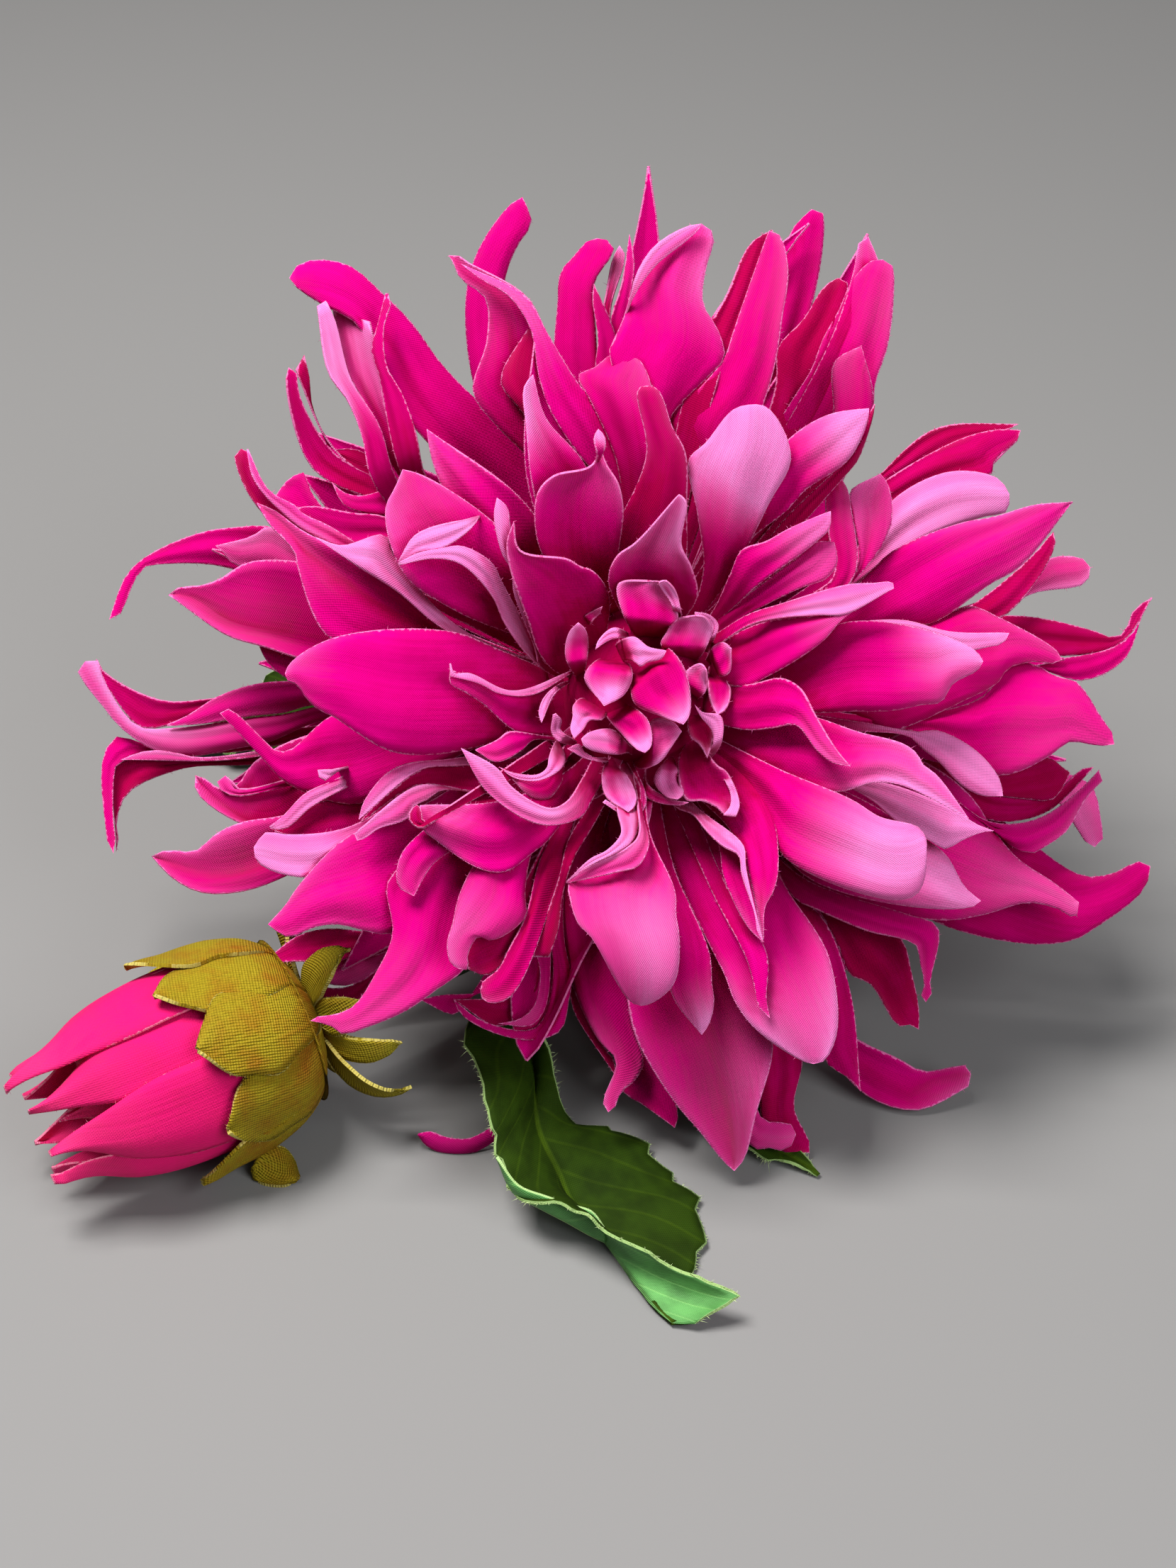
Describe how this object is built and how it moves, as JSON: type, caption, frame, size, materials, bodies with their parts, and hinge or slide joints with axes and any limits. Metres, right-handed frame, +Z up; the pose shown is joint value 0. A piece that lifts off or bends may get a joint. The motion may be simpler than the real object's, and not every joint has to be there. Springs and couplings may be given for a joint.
{
  "type": "artificial dahlia spray",
  "caption": "Fabric dahlia spray laid on a surface: a wide layered magenta bloom, a side bud in its olive calyx, toothed green leaves and a cut wire stem.",
  "frame": {"origin": "on the surface under the middle of the object's box", "axes": "+Z up from the surface, +Y along the stem from the bloom to its cut end, +X to the right seen from the bloom's front"},
  "size_m": [0.1582, 0.1831, 0.1098],
  "materials": {
    "bloom_fabric": "fine satin weave, magenta with crimson folds and pale cut edges",
    "bud_fabric": "fine visible weave, pinkish crimson",
    "calyx_fabric": "coarse weave, yellow-olive with orange-brown tints",
    "leaf_fabric": "satin weave, dark green with lighter veins and a light green underside",
    "stem_plastic": "matt green plastic over wire"
  },
  "bodies": {
    "root": {"bloom_petals": "bloom_fabric", "bloom_calyx": "stem_plastic", "stem": "stem_plastic", "bud_petals": "bud_fabric", "bud_calyx": "calyx_fabric", "front_leaf": "leaf_fabric", "right_leaf": "leaf_fabric", "back_leaf": "leaf_fabric"}
  },
  "joints": []
}
